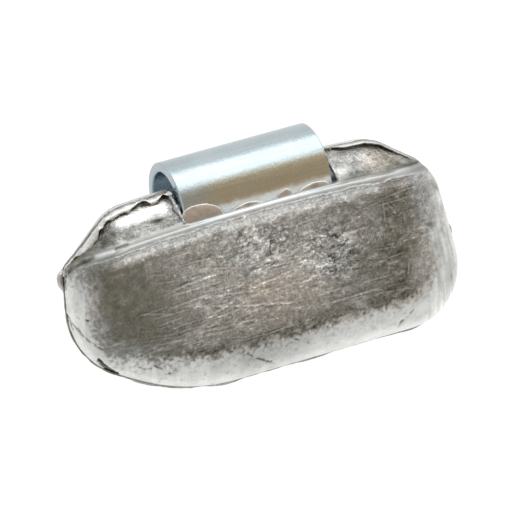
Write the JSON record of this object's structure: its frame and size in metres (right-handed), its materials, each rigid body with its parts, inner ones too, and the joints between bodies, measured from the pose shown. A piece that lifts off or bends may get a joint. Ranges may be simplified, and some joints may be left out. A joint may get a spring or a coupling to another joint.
{
  "type": "wheel balance weight",
  "caption": "Clip-on wheel balance weight: a pillow-shaped cast lead body with a bent spring-steel hook that grips the edge of a rim flange.",
  "frame": {"origin": "bottom centre of the bounding box, with the weight lying on its back", "axes": "+X along the weight, +Y towards the hook, +Z out of the front face; the wheel's axis is parallel to Z and lies far off along -Y"},
  "size_m": [0.0526, 0.0286, 0.0119],
  "materials": {
    "cast_lead": "dull grey cast lead, scuffed and lightly scratched along its face, brighter on its rounded edges",
    "zinc_steel": "bright zinc-plated spring steel with a faint blue tint"
  },
  "bodies": {
    "root": {"lead_weight": "cast_lead", "steel_clip": "zinc_steel"}
  },
  "joints": []
}
